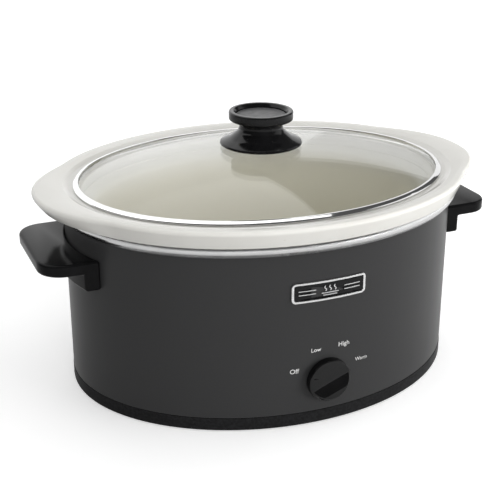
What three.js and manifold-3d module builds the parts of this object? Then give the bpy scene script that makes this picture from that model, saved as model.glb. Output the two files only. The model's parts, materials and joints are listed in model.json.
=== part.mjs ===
// Oval slow cooker: a glass lid on a stoneware crock, in a heated metal base.
// Millimetres, +Z up, +Y to the back. The origin is on the table under the middle of the cooker.
import * as THREE from 'three';
import { mergeVertices } from 'three/addons/utils/BufferGeometryUtils.js';
import Module from 'manifold-3d';

const wasm = await Module();
wasm.setup();

// ---- driving dimensions -------------------------------------------------------------------
const FIT = 0.3; // gap left between neighbouring pieces
const SHEET = 0.8; // thickness of the pressed metal

// Every oval is given by its half-depth in Y. Its half-length in X is larger by a spread.
const HOUSING_B = 139; // half-depth of the housing
const HOUSING_SPREAD = 37; // so its half-length is 176
const CROCK_SPREAD = 36; // spread of the crock and its lid
const WELL_SPREAD = 34.4; // spread of the heating well, which is a little less long
const SPREAD_FROM = 100; // half-depth at which an oval has its full spread
const OVAL_SEGMENTS = 48;

const BASE_TOP = 12; // top of the black base, where the housing starts
const BASE_CLEARANCE = 0.8; // the base stands this far off the table, on its feet
const HOUSING_TOP = 162.6;
const WELL_FLOOR = 30;
const FLANGE_TOP = 164.95; // the crock's rim rests here
const CROCK_FLOOR = 43;
const LEDGE = 177.6; // the lid rests here
const CROCK_TOP = 181;
const RIM_B = 152.5; // half-depth of the crock's rim, the deepest piece
const EAR_REACH = 14; // the rim's ends are drawn out this far as lifting ears
const EAR_WIDTH = 80; // half-width over which an ear dies away
const EAR_LIFT = 4.6; // the ear's underside is this much higher than the rim's

const MOUTH_B = 128.3; // half-depth of the crock's mouth
const LID_B = 131.3; // half-depth of the lid's steel rim
const GLASS_DROP = 25.3; // how far the dome falls from its crown to LID_B
const GLASS_CROWN = 203.2; // top of the glass at its centre
const GLASS_THICKNESS = 3;
const LID_KNOB_TOP = 233.4;

const HANDLE_TOP = 138.5;
const HANDLE_PLATE = 10.4; // thickness of the plate that is held
const HANDLE_BOTTOM = 112.6; // bottom of the leg against the housing
const HANDLE_END = 211; // the handles' outer edges, half the overall length
const HANDLE_HALF_WIDTH = 52.5;
const HANDLE_CORNER = 21;
const HANDLE_LEG_END = 184.5;
const HANDLE_LEG_RADIUS = 162;
const HANDLE_SCREW_Y = 24;
const HANDLE_SCREW_Z = 120.5;

const DIAL_Z = 41; // height of the control dial's axis
const DIAL_R = 18.9;
const DIAL_FACE = 6.9; // how far the dial's flat face stands out of the housing
const DIAL_DEPTH = 11; // and the crest of its finger grip
const SHAFT_R = 3;

const BADGE_WIDTH = 65.4;
const BADGE_HEIGHT = 17.6;
const BADGE_Z = 121.3;
const BADGE_BORDER = 2.2;
const BADGE_CORNER = 2.6;

const FOOT_X = 118;
const FOOT_Y = 72;
const GLAND_Z = 34;
const TIE_HEAD_Z = 2.0;

// ---- materials ----------------------------------------------------------------------------
const finish = (color, roughness, metalness = 0, extra = {}) =>
  new THREE.MeshStandardMaterial({ color, roughness, metalness, ...extra });
const charcoalPaint = () => finish(0x45464a, 0.32, 0.2);
const blackPlastic = () => finish(0x141414, 0.3);
const stoneware = () => finish(0xe6e3da, 0.18);
const steel = () => finish(0xc9cbcd, 0.22, 1);
const zincSteel = () => finish(0xa8abae, 0.42, 1);
const glass = () => finish(0xdfe6e4, 0.04, 0, { transparent: true, opacity: 0.35 });
const blackRubber = () => finish(0x1b1b1c, 0.85);
const mica = () => finish(0xb8a888, 0.7);

// ---- helpers ------------------------------------------------------------------------------
const slowCooker = new THREE.Group();

// Leaves only position on a geometry, with shared corners merged.
function weld(geometry) {
  const bare = geometry.clone();
  bare.deleteAttribute('normal');
  bare.deleteAttribute('uv');
  return mergeVertices(bare, 1e-4);
}

function toSolid(geometry) {
  const welded = weld(geometry);
  const solid = new wasm.Manifold(new wasm.Mesh({
    numProp: 3,
    vertProperties: Float32Array.from(welded.attributes.position.array),
    triVerts: Uint32Array.from(welded.index.array),
  }));
  return solid;
}

function toGeometry(solid) {
  const mesh = solid.getMesh();
  const geometry = new THREE.BufferGeometry();
  geometry.setAttribute('position', new THREE.BufferAttribute(Float32Array.from(mesh.vertProperties), 3));
  geometry.setIndex(new THREE.BufferAttribute(Uint32Array.from(mesh.triVerts), 1));
  return geometry;
}

function cut(geometry, ...tools) {
  let solid = toSolid(geometry);
  for (const tool of tools) solid = solid.subtract(toSolid(tool));
  return toGeometry(solid);
}

function join(geometry, ...others) {
  let solid = toSolid(geometry);
  for (const other of others) solid = solid.add(toSolid(other));
  return toGeometry(solid);
}

function signedVolume(geometry) {
  const p = geometry.attributes.position;
  const corner = (i) => new THREE.Vector3().fromBufferAttribute(p, geometry.index.getX(i));
  let volume = 0;
  for (let i = 0; i < geometry.index.count; i += 3) {
    volume += corner(i).dot(corner(i + 1).cross(corner(i + 2))) / 6;
  }
  return volume;
}

// Turns the faces outward if a profile was drawn the other way round.
function outward(geometry) {
  const welded = weld(geometry);
  if (signedVolume(welded) < 0) {
    const index = welded.index.array;
    for (let i = 0; i < index.length; i += 3) [index[i + 1], index[i + 2]] = [index[i + 2], index[i + 1]];
  }
  return welded;
}

function add(name, geometry, material) {
  geometry.computeVertexNormals();
  const mesh = new THREE.Mesh(geometry, material);
  mesh.name = name;
  slowCooker.add(mesh);
  return mesh;
}

const points = (pairs) => pairs.map(([r, z]) => new THREE.Vector2(r, z));

// A turned piece about +Z, from [radius, z] pairs.
function turned(pairs, segments = 28) {
  return outward(new THREE.LatheGeometry(points(pairs), segments).rotateX(Math.PI / 2));
}

// A turned piece drawn out along X into an oval, from [half-depth, z] pairs.
function oval(pairs, spread, fullFrom = SPREAD_FROM) {
  const geometry = turned(pairs, OVAL_SEGMENTS);
  const p = geometry.attributes.position;
  for (let i = 0; i < p.count; i += 1) {
    const b = Math.hypot(p.getX(i), p.getY(i));
    if (b < 1e-6) continue;
    p.setX(i, p.getX(i) * (1 + spread * Math.min(1, b / fullFrom) / b));
  }
  return geometry;
}

// Half-length in X of an oval of half-depth b at the place y.
const ovalX = (b, spread, y) => (b + spread) * Math.sqrt(1 - (y / b) ** 2);
// Half-depth in Y of an oval of half-depth b at the place x.
const ovalY = (b, spread, x) => b * Math.sqrt(1 - (x / (b + spread)) ** 2);

// A round bar from one place to another.
function bar(from, to, radius, segments = 20) {
  const a = new THREE.Vector3(...from);
  const b = new THREE.Vector3(...to);
  const geometry = new THREE.CylinderGeometry(radius, radius, a.distanceTo(b), segments);
  const turn = new THREE.Quaternion().setFromUnitVectors(
    new THREE.Vector3(0, 1, 0), b.clone().sub(a).normalize());
  return geometry.applyQuaternion(turn).translate(...a.add(b).multiplyScalar(0.5).toArray());
}

const box = (x, y, z, cx, cy, cz) => new THREE.BoxGeometry(x, y, z).translate(cx, cy, cz);

// An outline in X and Y, raised from one height to another.
function raised(shape, bottom, top, curveSegments = 8) {
  return new THREE.ExtrudeGeometry(shape, { depth: top - bottom, bevelEnabled: false, curveSegments })
    .translate(0, 0, bottom);
}

// ---- the crock ----------------------------------------------------------------------------
const smooth = (t) => t * t * (3 - 2 * t);
const clamp01 = (t) => Math.min(1, Math.max(0, t));
const earShape = (y) => Math.max(0, 1 - (Math.abs(y) / EAR_WIDTH) ** 3) ** 1.5;

function crockProfile() {
  const inside = [[0, CROCK_FLOOR], [88, CROCK_FLOOR], [101, 46], [108, 53], [110.5, 64], [114.5, 156],
    [117.5, 161.5], [124, 166.5], [127.4, 170.5], [MOUTH_B, 173.5], [MOUTH_B, LEDGE - 0.5], [128.8, LEDGE]];
  const rim = [[131.8, LEDGE + 0.05], [135, 178], [137.8, 178.7], [139.3, 179.5], [141.5, 180.5],
    [145, CROCK_TOP], [148.5, CROCK_TOP], [151, 180.2], [152.2, 178.7], [RIM_B, 177]];
  const underRim = [[147.2, 165.25], [122.2, 165.25]];
  const outside = [[122, 158], [118, 58], [116, 47], [109, 38], [97, 34], [0, 34]];
  return [...inside, ...rim, ...underRim, ...outside];
}

// Draws the two ends of the rim out into ears. Only what lies outside the groove moves.
function pullEars(geometry) {
  const p = geometry.attributes.position;
  for (let i = 0; i < p.count; i += 1) {
    const x = p.getX(i);
    const y = p.getY(i);
    const z = p.getZ(i);
    if (z < 165 || Math.abs(x) < 1) continue;
    // the half-depth of the oval that this point lies on, by halving the interval
    let low = Math.abs(y) + 1e-9;
    let high = RIM_B + 1;
    for (let step = 0; step < 40; step += 1) {
      const middle = (low + high) / 2;
      if (ovalX(middle, CROCK_SPREAD, y) < Math.abs(x)) low = middle;
      else high = middle;
    }
    const isUnderside = z < 165.5 && low > 146;
    const share = smooth(clamp01((low - 139.3) / 9)) * earShape(y);
    p.setX(i, x + Math.sign(x) * EAR_REACH * share);
    if (isUnderside) p.setZ(i, z + EAR_LIFT * earShape(y));
  }
  return geometry;
}

add('crock', pullEars(oval(crockProfile(), CROCK_SPREAD)), stoneware());

// ---- the lid ------------------------------------------------------------------------------
const glassDrop = (b) => GLASS_DROP * (b / LID_B) ** 2;
const glassEdgeB = 127;
const glassHoleR = 4;

function glassProfile() {
  const steps = 7;
  const top = [];
  for (let i = 0; i <= steps; i += 1) {
    const b = glassHoleR + (glassEdgeB - glassHoleR) * (i / steps);
    top.push([b, GLASS_CROWN - glassDrop(b)]);
  }
  const bottom = top.map(([b, z]) => [b, z - GLASS_THICKNESS]).reverse();
  return [...top, ...bottom, top[0]];
}
const glassEdgeTop = GLASS_CROWN - glassDrop(glassEdgeB);
const glassEdgeBottom = glassEdgeTop - GLASS_THICKNESS;
add('lid_glass', oval(glassProfile(), CROCK_SPREAD, LID_B), glass());

// A steel channel folded round the edge of the glass, with a skirt that centres the lid in the mouth.
const skirtB = MOUTH_B - FIT;
const slotB = glassEdgeB + FIT;
const lipB = 126.2;
const glassAt = (b) => GLASS_CROWN - glassDrop(b);
const rimProfile = [
  [skirtB - 0.8, 173], [skirtB, 173], [skirtB, LEDGE + FIT], [131, LEDGE + FIT], [LID_B, LEDGE + 0.7],
  [130.7, 179.4], [129.3, 180.4], [127.6, 180.9], [lipB, 180.85], [lipB, glassAt(lipB) + FIT],
  [slotB, glassAt(slotB) + FIT], [slotB, glassEdgeBottom - FIT], [lipB, glassAt(lipB) - GLASS_THICKNESS - FIT],
  [lipB, 175.6], [skirtB - 0.8, 175.3], [skirtB - 0.8, 173]];
add('lid_rim', oval(rimProfile, CROCK_SPREAD), steel());

const boreR = 2.8;
const gasketR = 13;
const lidKnobProfile = [
  [0, 219.3], [boreR, 219.3], [boreR, 205.3], [gasketR + 1, 205.3], [gasketR + 1, GLASS_CROWN + FIT],
  [34.6, GLASS_CROWN + FIT], [35.9, 204.2], [36.1, 204.9], [35.3, 206.3], [30.5, 208.8], [25, 212.4],
  [21, 216.8], [19.3, 221], [19.7, 223], [22.6, 224.8], [27.2, 225.4], [28.1, 226.4], [28.1, 231.5],
  [27.3, 232.9], [25.8, LID_KNOB_TOP], [23.9, 233], [22.5, 231.6], [22, 229.8], [22, 227.8], [0, 227.8]];
add('lid_knob', turned(lidKnobProfile), blackPlastic());
add('lid_knob_cap', turned([
  [0, 228.1], [21.7, 228.1], [21.7, 229.3], [21, 229.9], [0, 229.9]], 28), blackPlastic());
add('lid_knob_gasket', turned([
  [3.2, GLASS_CROWN + FIT], [gasketR, GLASS_CROWN + FIT], [gasketR, 205], [3.2, 205],
  [3.2, GLASS_CROWN + FIT]], 24), blackRubber());
const underGlass = GLASS_CROWN - GLASS_THICKNESS - 0.5;
add('lid_screw_washer', turned([
  [3.2, underGlass - 1.2], [9, underGlass - 1.2], [9, underGlass], [3.2, underGlass],
  [3.2, underGlass - 1.2]], 20), zincSteel());
const headTop = underGlass - 1.2 - FIT;
add('lid_knob_screw', turned([
  [0, headTop - 3], [3.4, headTop - 2.8], [5, headTop - 1.6], [5.2, headTop], [2.5, headTop],
  [2.5, 218], [2, 218.8], [0, 218.8]], 20), zincSteel());

// ---- the housing, the base and the feet ---------------------------------------------------
const handleEnds = [['left', -1], ['right', 1]];
const handleScrews = [['front', -HANDLE_SCREW_Y], ['back', HANDLE_SCREW_Y]];
const housingX = (y) => ovalX(HOUSING_B, HOUSING_SPREAD, y);

const housingInnerB = HOUSING_B - SHEET;
const housingProfile = [
  [HOUSING_B, BASE_TOP + FIT], [HOUSING_B, HOUSING_TOP], [housingInnerB, HOUSING_TOP],
  [housingInnerB, BASE_TOP + FIT], [HOUSING_B, BASE_TOP + FIT]];
const screwHoles = handleEnds.flatMap(([, side]) => handleScrews.map(([, y]) =>
  bar([side * (housingX(y) - 8), y, HANDLE_SCREW_Z], [side * (housingX(y) + 8), y, HANDLE_SCREW_Z], 2.4, 12)));
const bushR = 4.7;
const glandNeckR = 5.6;
add('housing', cut(oval(housingProfile, HOUSING_SPREAD),
  bar([0, -HOUSING_B - 5, DIAL_Z], [0, -HOUSING_B + 6, DIAL_Z], bushR + 0.4),
  bar([0, HOUSING_B - 6, GLAND_Z], [0, HOUSING_B + 5, GLAND_Z], glandNeckR + 0.4),
  ...screwHoles), charcoalPaint());

const baseWallB = housingInnerB - 0.4;
const baseProfile = [
  [0, 4.2], [129, 4.2], [131, BASE_CLEARANCE], [138.7, BASE_CLEARANCE], [HOUSING_B + 0.3, 1.6],
  [HOUSING_B + 0.3, BASE_TOP - 0.4], [HOUSING_B - 0.1, BASE_TOP], [baseWallB, BASE_TOP], [baseWallB, 19],
  [baseWallB - 2.2, 19], [baseWallB - 2.2, 6.6], [0, 6.6]];
const footPlaces = [
  ['front_left', -1, -1], ['front_right', 1, -1], ['back_left', -1, 1], ['back_right', 1, 1]];
const stemR = 3;
const footHoles = footPlaces.map(([, sx, sy]) =>
  bar([sx * FOOT_X, sy * FOOT_Y, 0], [sx * FOOT_X, sy * FOOT_Y, 9], stemR + FIT, 12));
const tieR = 2.5;
const tieHole = bar([0, 0, 0], [0, 0, 9], tieR + 0.4, 16);
add('base', cut(oval(baseProfile, HOUSING_SPREAD), tieHole, ...footHoles), blackPlastic());

for (const [place, sx, sy] of footPlaces) {
  const foot = turned([
    [0, 0], [9, 0], [10, 0.8], [10, 3.9], [stemR, 3.9], [stemR, 6.9], [4.6, 7.2], [3, 10], [0, 10.4]], 12);
  add(`foot_${place}`, foot.translate(sx * FOOT_X, sy * FOOT_Y, 0), blackRubber());
}

// ---- the heating well and its heater ------------------------------------------------------
const wellWallB = (z) => 121.5 + (z - 56) * 0.034; // inner face of the well's side
const wellProfile = [
  [0, WELL_FLOOR], [100, WELL_FLOOR], [112, 34.5], [119, 44], [wellWallB(56), 56], [wellWallB(158), 158],
  [126.6, FLANGE_TOP], [143.6, FLANGE_TOP], [145.4, 163.9], [146.1, 162.2], [145.7, 160.3], [143.2, 156],
  [142.4, 156.6], [144.8, 160.7], [145.1, 162], [144.6, 163.2], [143.4, FLANGE_TOP - SHEET],
  [127.6, FLANGE_TOP - SHEET], [wellWallB(158) + SHEET, 158], [wellWallB(56) + SHEET, 56],
  [120.1, 43.4], [112.8, 33.4], [100.2, WELL_FLOOR - SHEET], [0, WELL_FLOOR - SHEET]];
add('heating_well', oval(wellProfile, WELL_SPREAD), steel());

// A foil heater in a steel band, wrapped round the well and closed by a bolt at the back.
const heaterLow = 58;
const heaterHigh = 112;
const heaterGap = SHEET + 0.5;
const heaterDepth = 1.8;
const heaterProfile = [
  [wellWallB(heaterLow) + heaterGap, heaterLow], [wellWallB(heaterLow) + heaterGap + heaterDepth, heaterLow],
  [wellWallB(heaterHigh) + heaterGap + heaterDepth, heaterHigh],
  [wellWallB(heaterHigh) + heaterGap, heaterHigh], [wellWallB(heaterLow) + heaterGap, heaterLow]];
const lugX = 8;
const lugInner = wellWallB(85) + heaterGap + 0.4;
const lug = (side) => box(2, 8.6, 24, side * lugX, lugInner + 4.3, 85);
const boltY = lugInner + 5.4;
const boltHole = bar([-15, boltY, 85], [15, boltY, 85], 2.3, 12);
add('heater_band', cut(join(
  cut(oval(heaterProfile, WELL_SPREAD), box(14, 20, 80, 0, 126, 85)), lug(-1), lug(1)), boltHole), mica());
add('heater_clamp_bolt', join(
  bar([-12.6, boltY, 85], [-9.3, boltY, 85], 3.6, 6), bar([-9.6, boltY, 85], [13.4, boltY, 85], 1.95, 12)),
zincSteel());
add('heater_clamp_nut', cut(
  bar([9.4, boltY, 85], [12, boltY, 85], 3.6, 6), bar([9, boltY, 85], [13, boltY, 85], 2.3, 12)), zincSteel());

// A strap under the well takes the long bolt that ties the base, the housing and the well together.
const strapZ = WELL_FLOOR - SHEET - FIT;
add('well_strap', cut(join(
  box(120, 16, 1.6, 0, 0, strapZ - 8), box(1.6, 16, 8.8, -59.2, 0, strapZ - 4.4),
  box(1.6, 16, 8.8, 59.2, 0, strapZ - 4.4)), bar([0, 0, 10], [0, 0, 30], tieR + FIT, 16)), zincSteel());
add('tie_bolt', turned([
  [0, TIE_HEAD_Z], [4.2, TIE_HEAD_Z], [4.6, 3], [4.6, 3.9], [tieR, 3.9], [tieR, 27.4], [0, 28]], 16), zincSteel());
add('tie_nut', cut(
  bar([0, 0, strapZ - 6.9], [0, 0, strapZ - 3.4], 4.6, 6), bar([0, 0, 12], [0, 0, 30], tieR + FIT, 16)),
zincSteel());

// ---- the handles --------------------------------------------------------------------------
// Half of a handle's plan, mirrored below: the held plate with its rounded outer corners.
function handlePlan(outline) {
  const shape = new THREE.Shape();
  const innerPoints = [];
  const steps = 10;
  for (let i = 0; i <= steps; i += 1) {
    const y = HANDLE_HALF_WIDTH - (2 * HANDLE_HALF_WIDTH * i) / steps;
    innerPoints.push(new THREE.Vector2(housingX(y) + FIT, y));
  }
  shape.setFromPoints([...outline, ...innerPoints]);
  return shape;
}

function plateOutline() {
  const outer = new THREE.Path();
  const straight = HANDLE_HALF_WIDTH - HANDLE_CORNER;
  const cornerX = HANDLE_END - HANDLE_CORNER;
  outer.moveTo(cornerX, -HANDLE_HALF_WIDTH);
  outer.absarc(cornerX, -straight, HANDLE_CORNER, -Math.PI / 2, 0);
  outer.absarc(cornerX, straight, HANDLE_CORNER, 0, Math.PI / 2);
  return outer.getPoints(6);
}

function legOutline() {
  const outer = new THREE.Path();
  const centreX = HANDLE_LEG_END - HANDLE_LEG_RADIUS;
  const half = Math.asin(HANDLE_HALF_WIDTH / HANDLE_LEG_RADIUS);
  outer.absarc(centreX, 0, HANDLE_LEG_RADIUS, -half, half);
  return outer.getPoints(8);
}

for (const [name, side] of handleEnds) {
  const plate = raised(handlePlan(plateOutline()), HANDLE_TOP - HANDLE_PLATE, HANDLE_TOP, 6);
  const leg = raised(handlePlan(legOutline()), HANDLE_BOTTOM, HANDLE_TOP - HANDLE_PLATE + 1);
  const bores = handleScrews.map(([, y]) =>
    bar([housingX(y) - 2, y, HANDLE_SCREW_Z], [housingX(y) + 7, y, HANDLE_SCREW_Z], 2.3, 12));
  const solid = cut(join(plate, leg), ...bores);
  const facing = side > 0 ? solid : outward(solid.clone().scale(-1, 1, 1));
  add(`${name}_handle`, facing, blackPlastic());
  for (const [place, y] of handleScrews) {
    const headX = housingX(y) - SHEET - 1.8;
    const screw = join(
      bar([side * (headX - 2.4), y, HANDLE_SCREW_Z], [side * headX, y, HANDLE_SCREW_Z], 4, 14),
      bar([side * (headX - 1), y, HANDLE_SCREW_Z], [side * (housingX(y) + 6.6), y, HANDLE_SCREW_Z], 2, 12));
    add(`${name}_handle_screw_${place}`, screw, zincSteel());
  }
}

// ---- the badge ----------------------------------------------------------------------------
// The outline of a bar with rounded corners.
function roundedBar(width, height, corner, path) {
  const w = width / 2 - corner;
  const h = height / 2 - corner;
  path.absarc(w, h, corner, 0, Math.PI / 2);
  path.absarc(-w, h, corner, Math.PI / 2, Math.PI);
  path.absarc(-w, -h, corner, Math.PI, 1.5 * Math.PI);
  path.absarc(w, -h, corner, 1.5 * Math.PI, 2 * Math.PI);
  path.closePath();
  return path;
}

// A piece of the given outline that lies against the curved front of the housing.
function onHousingFront(shape, standoff, thickness) {
  const inner = HOUSING_B + standoff;
  const outer = inner + thickness;
  const low = BADGE_Z - BADGE_HEIGHT;
  const high = BADGE_Z + BADGE_HEIGHT;
  const shell = oval([[inner, low], [outer, low], [outer, high], [inner, high], [inner, low]], HOUSING_SPREAD);
  const prism = raised(shape, 0, 60, 4).rotateX(Math.PI / 2).translate(0, -100, BADGE_Z);
  return toGeometry(toSolid(shell).intersect(toSolid(prism)));
}

const frameShape = roundedBar(BADGE_WIDTH, BADGE_HEIGHT, BADGE_CORNER, new THREE.Shape());
const windowCorner = BADGE_CORNER - 1;
frameShape.holes.push(roundedBar(
  BADGE_WIDTH - 2 * BADGE_BORDER, BADGE_HEIGHT - 2 * BADGE_BORDER, windowCorner, new THREE.Path()));
add('badge_frame', onHousingFront(frameShape, FIT, 1.5), steel());
const inlayTrim = 2 * (BADGE_BORDER + FIT);
const inlayShape = roundedBar(
  BADGE_WIDTH - inlayTrim, BADGE_HEIGHT - inlayTrim, windowCorner - 0.2, new THREE.Shape());
add('badge_inlay', onHousingFront(inlayShape, FIT, 0.9), blackPlastic());

// ---- the heat switch and its dial ---------------------------------------------------------
const switchDepth = 12;
const switchFront = SHEET + 1; // distance behind the housing's outer face
const switchBox = box(28, switchDepth, 25, 0, -HOUSING_B + switchFront + switchDepth / 2, DIAL_Z);
const bush = bar([0, -HOUSING_B + 3, DIAL_Z], [0, -HOUSING_B - 2.9, DIAL_Z], bushR, 20);
const shaftBore = bar([0, -HOUSING_B + 11, DIAL_Z], [0, -HOUSING_B - 5, DIAL_Z], SHAFT_R + FIT, 20);
const terminals = [-9, 0, 9].map((x) => box(4.6, 0.9, 6, x, -HOUSING_B + 9.3, DIAL_Z + 14.5));
add('heat_switch', cut(join(switchBox, bush, ...terminals), shaftBore), mica());
add('switch_nut', cut(
  bar([0, -HOUSING_B - FIT, DIAL_Z], [0, -HOUSING_B - 2.4, DIAL_Z], 7.6, 6),
  bar([0, -HOUSING_B + 2, DIAL_Z], [0, -HOUSING_B - 4, DIAL_Z], bushR + FIT, 20)), zincSteel());
add('selector_shaft', cut(
  bar([0, -HOUSING_B + 10.6, DIAL_Z], [0, -HOUSING_B - 5.2, DIAL_Z], SHAFT_R, 20),
  box(8, 2.2, 4, 0, -HOUSING_B - 4.3, DIAL_Z + SHAFT_R + 1)), zincSteel());
const dialDisc = turned([
  [0, 5.5], [3.4, 5.5], [3.4, 3.6], [9.6, 3.6], [9.6, 0.6], [DIAL_R, 0.6], [DIAL_R, 2], [18.7, 5.8],
  [18, 6.7], [17, DIAL_FACE], [0, DIAL_FACE]], 36);
// The finger grip: a ramp across the lower half of the face, cut round by a cone.
const gripRound = turned([
  [0, 5.8], [17.4, 5.8], [17.4, 7.3], [15.2, 10.6], [14.4, DIAL_DEPTH], [0, DIAL_DEPTH]], 36);
const rampSlope = 0.3;
const rampSide = new THREE.Shape(points([
  [-0.5, 5.7], [20, 5.7], [20, DIAL_FACE + rampSlope * 20], [-0.5, DIAL_FACE - 0.15]]));
const rampDown = new THREE.Vector3(0.365, -0.931, 0).normalize();
const ramp = raised(rampSide, -20, 20).applyMatrix4(new THREE.Matrix4().makeBasis(
  rampDown, new THREE.Vector3(0, 0, 1), rampDown.clone().cross(new THREE.Vector3(0, 0, 1))));
const grip = toGeometry(toSolid(gripRound).intersect(toSolid(ramp)));
const dial = join(dialDisc, grip).rotateX(Math.PI / 2).translate(0, -HOUSING_B, DIAL_Z);
add('control_dial', dial, blackPlastic());

// ---- the mains side -----------------------------------------------------------------------
const glandNeck = bar([0, HOUSING_B - 6.6, GLAND_Z], [0, HOUSING_B + 2, GLAND_Z], glandNeckR, 16);
const glandFlange = bar([0, HOUSING_B + FIT, GLAND_Z], [0, HOUSING_B + 4, GLAND_Z], 8.4, 20);
const glandNose = bar([0, HOUSING_B + 3, GLAND_Z], [0, HOUSING_B + 8, GLAND_Z], 6, 20);
const glandBore = bar([0, HOUSING_B - 9, GLAND_Z], [0, HOUSING_B + 10, GLAND_Z], 3.6, 16);
add('cord_gland', cut(join(glandNeck, glandFlange, glandNose), glandBore), blackRubber());
add('gland_clip', cut(
  bar([0, HOUSING_B - 4.4, GLAND_Z], [0, HOUSING_B - 2, GLAND_Z], 8.2, 6),
  bar([0, HOUSING_B - 8, GLAND_Z], [0, HOUSING_B, GLAND_Z], glandNeckR + FIT, 16)), zincSteel());

// The terminal block stands on the base at the back, clear of the well.
const blockX = 34;
const blockY = 112;
add('terminal_block', box(30, 12, 12, blockX, blockY, 13.2), mica());

// The thermal cut-out is clipped to the heater band at the left of the back.
const fuseX = -52;
const heaterOuterB = wellWallB(85) + heaterGap + heaterDepth;
const fuseY = ovalY(heaterOuterB, WELL_SPREAD, fuseX) + 3.4;
const fuseTurn = Math.atan2(fuseX * heaterOuterB ** 2, fuseY * (heaterOuterB + WELL_SPREAD) ** 2);
const atFuse = (geometry) => geometry.rotateZ(-fuseTurn).translate(fuseX, fuseY + 0.4, 85);
add('thermal_cutout', atFuse(bar([-11, 0, 0], [11, 0, 0], 2, 12)), steel());
const clipRing = cut(bar([-4, 0, 0], [4, 0, 0], 3, 12), bar([-6, 0, 0], [6, 0, 0], 2.3, 12));
add('cutout_clip', atFuse(toGeometry(toSolid(clipRing).add(toSolid(box(8, 1.4, 14, 0, 2.9, 0))))), zincSteel());

// An insulated wire: a tube along a smooth curve through the given places.
function wire(name, places, color) {
  const path = new THREE.CatmullRomCurve3(places.map((place) => new THREE.Vector3(...place)));
  const section = new THREE.Shape().absarc(0, 0, 1.3, 0, 2 * Math.PI);
  const geometry = new THREE.ExtrudeGeometry(section, { steps: 16, curveSegments: 4, extrudePath: path });
  add(name, outward(geometry), finish(color, 0.6));
}
wire('gland_wire', [[0, HOUSING_B - 9, GLAND_Z], [2, 126, 28], [9, 118, 20], [17, 113.5, 13.4]], 0x3a3a3a);
wire('switch_wire', [
  [51, 108, 13.5], [92, 90, 13], [124, 50, 12.5], [128, 0, 12.5], [112, -60, 13], [60, -104, 20],
  [34, -124, 46], [18, -129.5, 63], [9.5, -HOUSING_B + 9.3, 61.3]], 0x8a2b22);
wire('heater_wire', [
  [-9.5, -HOUSING_B + 9.3, 61.3], [-14, -HOUSING_B + 9.3, 63.5], [-24, -128, 56], [-60, -121, 48],
  [-100, -106, 50], [-123.5, -80.5, 56]], 0x2c4a78);

export default slowCooker;
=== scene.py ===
import json
import math

import bmesh
import bpy
import numpy as np
from mathutils import Matrix, Vector


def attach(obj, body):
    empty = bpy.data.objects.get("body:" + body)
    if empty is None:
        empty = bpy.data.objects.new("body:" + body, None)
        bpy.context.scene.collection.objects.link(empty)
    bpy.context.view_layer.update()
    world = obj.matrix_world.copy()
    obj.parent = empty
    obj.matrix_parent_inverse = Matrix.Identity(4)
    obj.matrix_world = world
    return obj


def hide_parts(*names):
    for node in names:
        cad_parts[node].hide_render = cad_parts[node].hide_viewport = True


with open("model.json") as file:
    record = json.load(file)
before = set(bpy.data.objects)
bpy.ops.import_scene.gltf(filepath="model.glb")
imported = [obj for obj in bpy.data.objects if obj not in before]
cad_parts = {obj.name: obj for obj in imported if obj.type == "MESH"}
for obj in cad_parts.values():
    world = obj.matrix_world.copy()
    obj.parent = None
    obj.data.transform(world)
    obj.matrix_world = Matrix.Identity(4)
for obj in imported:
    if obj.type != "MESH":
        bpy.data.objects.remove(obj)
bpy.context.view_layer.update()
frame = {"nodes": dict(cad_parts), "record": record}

MM = 0.001

# Ovals are given by their half-depth b in Y; their half-length in X is b plus a spread.
HOUSING_B, HOUSING_SPREAD = 139.0, 37.0
CROCK_SPREAD = 36.0
WELL_SPREAD = 34.4
SPREAD_FROM = 100.0
DIAL_Z = 41.0
BADGE_Z = 121.3
BADGE_WIDTH, BADGE_HEIGHT = 65.4, 17.6


# ---- mesh helpers, in millimetres ---------------------------------------------------------
def unit(v):
    return v / np.linalg.norm(v)


def rounded(corners, closed=False, step=10.0):
    """A polyline through (b, z, radius) corners with each corner rounded to its radius."""
    out = []
    n = len(corners)
    for i, corner in enumerate(corners):
        p = np.array(corner[:2], float)
        r = corner[2] if len(corner) > 2 else 0.0
        if r == 0 or (not closed and i in (0, n - 1)):
            out.append(p)
            continue
        before = np.array(corners[i - 1][:2], float) - p
        after = np.array(corners[(i + 1) % n][:2], float) - p
        u, v = unit(before), unit(after)
        half = math.acos(max(-1.0, min(1.0, float(u @ v)))) / 2
        if half > math.radians(89):
            out.append(p)
            continue
        t = min(r / math.tan(half), 0.495 * np.linalg.norm(before), 0.495 * np.linalg.norm(after))
        r = t * math.tan(half)
        centre = p + unit(u + v) * r / math.sin(half)
        a0 = math.atan2(*(p + u * t - centre)[::-1])
        a1 = math.atan2(*(p + v * t - centre)[::-1])
        turn = (a1 - a0 + math.pi) % (2 * math.pi) - math.pi
        steps = max(3, math.ceil(abs(math.degrees(turn)) / step))
        for k in range(steps + 1):
            a = a0 + turn * k / steps
            out.append(centre + r * np.array([math.cos(a), math.sin(a)]))
    return out


def dense(points, longest):
    """The same polyline with no stretch longer than this."""
    out = [points[0]]
    for p, q in zip(points, points[1:]):
        n = max(1, math.ceil(np.linalg.norm(q - p) / longest))
        out += [p + (q - p) * k / n for k in range(1, n + 1)]
    return out


def make(name, verts, faces, body, slot, material, stands_for=(), sharp=38):
    """A smooth-shaded mesh object from millimetre vertices, riding on a body."""
    mesh = bpy.data.meshes.new(name)
    mesh.from_pydata([tuple(float(c) * MM for c in v) for v in verts], [], faces)
    bm = bmesh.new()
    bm.from_mesh(mesh)
    bmesh.ops.remove_doubles(bm, verts=bm.verts, dist=1e-7)
    bmesh.ops.recalc_face_normals(bm, faces=bm.faces)
    bm.to_mesh(mesh)
    bm.free()
    return finish_object(name, mesh, body, material, stands_for, sharp)


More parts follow.
